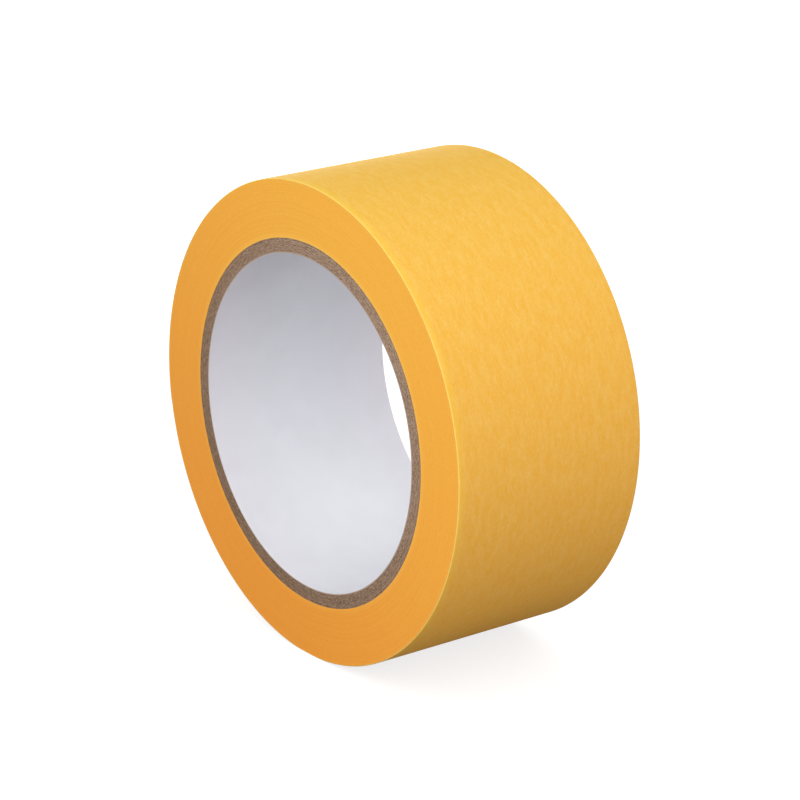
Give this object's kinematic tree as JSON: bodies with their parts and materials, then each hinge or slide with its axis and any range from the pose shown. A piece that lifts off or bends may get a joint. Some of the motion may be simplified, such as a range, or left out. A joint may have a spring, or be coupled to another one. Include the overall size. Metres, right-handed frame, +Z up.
{
  "type": "masking tape roll",
  "caption": "Roll of golden-yellow masking tape wound on a paper core, standing on its rim, with a free end that peels away from the roll.",
  "frame": {"origin": "centre of the core's bore, at the middle of the tape's width", "axes": "+Y along the roll's axis, +Z up from the surface that the roll stands on, +X away from the side that the free end is on"},
  "size_m": [0.1101, 0.05, 0.1098],
  "materials": {
    "liner_paper": "white coated paper, soft sheen",
    "core_board": "grey-brown recycled core board, cut ends",
    "tape_edge": "wound edges of the tape, satin orange with fine rings",
    "tape_paper": "yellow crepe-free washi paper, satin, with visible fibres"
  },
  "bodies": {
    "roll": {"core_liner": "liner_paper", "core_ply_1": "core_board", "core_ply_2": "core_board", "core_ply_3": "core_board", "core_ply_4": "core_board", "core_ply_5": "core_board", "wound_tape": "tape_edge", "last_turn": "tape_paper"},
    "free_end_1": {"free_end_1": "tape_paper"},
    "free_end_2": {"free_end_2": "tape_paper"},
    "free_end_3": {"free_end_3": "tape_paper"},
    "free_end_4": {"free_end_4": "tape_paper"},
    "free_end_5": {"free_end_5": "tape_paper"},
    "free_end_6": {"free_end_6": "tape_paper"}
  },
  "joints": [
    {"name": "free_end_peel", "type": "hinge", "parent": "roll", "child": "free_end_1", "pos_m": [-0.03551, 0, 0.04212], "axis": [0, 1, 0], "range_deg": [0, 20]},
    {"name": "free_end_bend_2", "type": "hinge", "parent": "free_end_1", "child": "free_end_2", "pos_m": [-0.04222, 0, 0.0354], "axis": [0, 1, 0], "range_deg": [0, 20]},
    {"name": "free_end_bend_3", "type": "hinge", "parent": "free_end_2", "child": "free_end_3", "pos_m": [-0.04768, 0, 0.02762], "axis": [0, 1, 0], "range_deg": [0, 20]},
    {"name": "free_end_bend_4", "type": "hinge", "parent": "free_end_3", "child": "free_end_4", "pos_m": [-0.05171, 0, 0.01902], "axis": [0, 1, 0], "range_deg": [0, 20]},
    {"name": "free_end_bend_5", "type": "hinge", "parent": "free_end_4", "child": "free_end_5", "pos_m": [-0.05421, 0, 0.00985], "axis": [0, 1, 0], "range_deg": [0, 20]},
    {"name": "free_end_bend_6", "type": "hinge", "parent": "free_end_5", "child": "free_end_6", "pos_m": [-0.0551, 0, 0.0004], "axis": [0, 1, 0], "range_deg": [0, 20]}
  ],
  "couplings": [
    {"joint": "free_end_bend_2", "follows": "free_end_peel", "ratio": 1},
    {"joint": "free_end_bend_3", "follows": "free_end_peel", "ratio": 1},
    {"joint": "free_end_bend_4", "follows": "free_end_peel", "ratio": 1},
    {"joint": "free_end_bend_5", "follows": "free_end_peel", "ratio": 1},
    {"joint": "free_end_bend_6", "follows": "free_end_peel", "ratio": 1}
  ]
}
